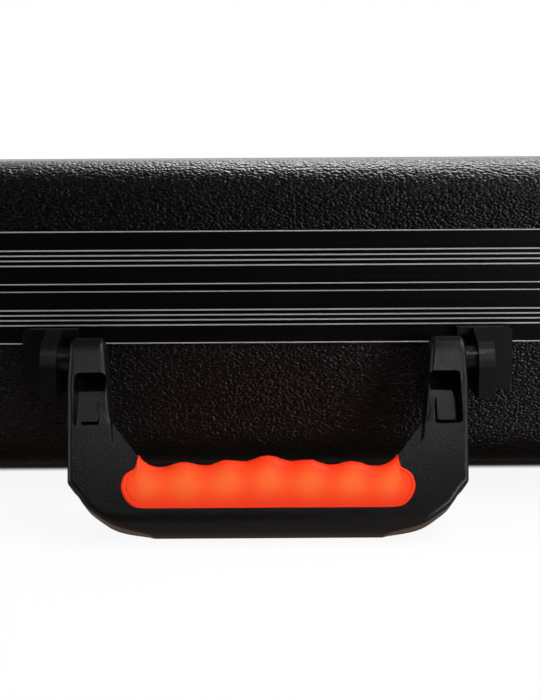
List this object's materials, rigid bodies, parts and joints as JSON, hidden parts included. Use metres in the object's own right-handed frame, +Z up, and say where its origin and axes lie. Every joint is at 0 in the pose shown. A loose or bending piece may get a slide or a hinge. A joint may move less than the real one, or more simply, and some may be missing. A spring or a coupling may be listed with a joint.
{
  "type": "pedalboard case",
  "caption": "Hard pedalboard case with a hinged lid, ribbed double frame, draw latches, rubber feet and a swinging handle with a soft finger grip.",
  "frame": {"origin": "on the floor, under the middle of the case body, in the plane of the four feet", "axes": "+X to the case's right as its handle side is faced, +Y from the handle side to the hinges, +Z up"},
  "size_m": [0.491, 0.3493, 0.1334],
  "materials": {
    "leather_grain_abs": "moulded leather grain",
    "black_anodised_aluminium": "black anodised, ribbed extrusion",
    "lining_foam": "open-cell foam",
    "foot_rubber": "matt moulded rubber",
    "handle_nylon": "spark-textured",
    "grip_rubber": "soft satin",
    "bracket_nylon": "satin",
    "rivet_aluminium": "plain",
    "nickel_plated_steel": "nickel plated",
    "zinc_plated_steel": "zinc plated"
  },
  "bodies": {
    "base": {"base_floor_foam": "lining_foam", "base_frame": "black_anodised_aluminium", "base_joint_plate": "zinc_plated_steel", "base_shell": "leather_grain_abs", "base_side_foam": "lining_foam", "bracket_backing_left": "zinc_plated_steel", "bracket_backing_right": "zinc_plated_steel", "bracket_screws": "zinc_plated_steel", "bumper_base_left": "foot_rubber", "bumper_base_right": "foot_rubber", "bumper_screws_base": "zinc_plated_steel", "foot_back_left": "foot_rubber", "foot_back_right": "foot_rubber", "foot_front_left": "foot_rubber", "foot_front_right": "foot_rubber", "foot_screws": "zinc_plated_steel", "handle_bracket_left": "bracket_nylon", "handle_bracket_right": "bracket_nylon", "handle_pin_left": "zinc_plated_steel", "handle_pin_right": "zinc_plated_steel", "hinge_base_leaf_left": "nickel_plated_steel", "hinge_base_leaf_right": "nickel_plated_steel", "hinge_pin_left": "zinc_plated_steel", "hinge_pin_right": "zinc_plated_steel", "hinge_rivets_base": "rivet_aluminium", "latch_pivot_pin_left": "nickel_plated_steel", "latch_pivot_pin_right": "nickel_plated_steel", "latch_plate_left": "nickel_plated_steel", "latch_plate_right": "nickel_plated_steel", "latch_rivets_base": "rivet_aluminium"},
    "lid": {"bumper_lid_left": "foot_rubber", "bumper_lid_right": "foot_rubber", "bumper_screws_lid": "zinc_plated_steel", "hinge_lid_leaf_left": "nickel_plated_steel", "hinge_lid_leaf_right": "nickel_plated_steel", "hinge_rivets_lid": "rivet_aluminium", "keeper_left": "nickel_plated_steel", "keeper_right": "nickel_plated_steel", "latch_rivets_lid": "rivet_aluminium", "lid_foam": "lining_foam", "lid_frame": "black_anodised_aluminium", "lid_joint_plate": "zinc_plated_steel", "lid_shell": "leather_grain_abs"},
    "handle": {"handle_body": "handle_nylon", "handle_grip": "grip_rubber"},
    "lever_left": {"latch_lever_left": "nickel_plated_steel", "claw_pin_left": "zinc_plated_steel"},
    "claw_left": {"latch_claw_left": "nickel_plated_steel"},
    "lock_left": {"lock_cylinder_left": "nickel_plated_steel"},
    "lever_right": {"latch_lever_right": "nickel_plated_steel", "claw_pin_right": "zinc_plated_steel"},
    "claw_right": {"latch_claw_right": "nickel_plated_steel"},
    "lock_right": {"lock_cylinder_right": "nickel_plated_steel"}
  },
  "joints": [
    {"name": "lid_hinge", "type": "hinge", "parent": "base", "child": "lid", "pos_m": [0, 0.1487, 0.0852], "axis": [-1, 0, 0], "range_deg": [0, 100]},
    {"name": "handle_swing", "type": "hinge", "parent": "base", "child": "handle", "pos_m": [0, -0.159, 0.06], "axis": [-1, 0, 0], "range_deg": [-33, 150]},
    {"name": "latch_left_lever", "type": "hinge", "parent": "base", "child": "lever_left", "pos_m": [-0.165, -0.1525, 0.077], "axis": [-1, 0, 0], "range_deg": [-30, 60]},
    {"name": "latch_left_claw", "type": "hinge", "parent": "lever_left", "child": "claw_left", "pos_m": [-0.165, -0.15557, 0.07069], "axis": [-1, 0, 0], "range_deg": [-70, 35]},
    {"name": "lock_left_turn", "type": "hinge", "parent": "lever_left", "child": "lock_left", "pos_m": [-0.165, -0.16706, 0.05977], "axis": [0, -0.866, 0.5], "range_deg": [0, 90]},
    {"name": "latch_right_lever", "type": "hinge", "parent": "base", "child": "lever_right", "pos_m": [0.165, -0.1525, 0.077], "axis": [-1, 0, 0], "range_deg": [-30, 60]},
    {"name": "latch_right_claw", "type": "hinge", "parent": "lever_right", "child": "claw_right", "pos_m": [0.165, -0.15557, 0.07069], "axis": [-1, 0, 0], "range_deg": [-70, 35]},
    {"name": "lock_right_turn", "type": "hinge", "parent": "lever_right", "child": "lock_right", "pos_m": [0.165, -0.16706, 0.05977], "axis": [0, -0.866, 0.5], "range_deg": [0, 90]}
  ],
  "couplings": [
    {"joint": "latch_left_claw", "follows": "latch_left_lever", "ratio": -1.15},
    {"joint": "latch_right_claw", "follows": "latch_right_lever", "ratio": -1.15}
  ]
}
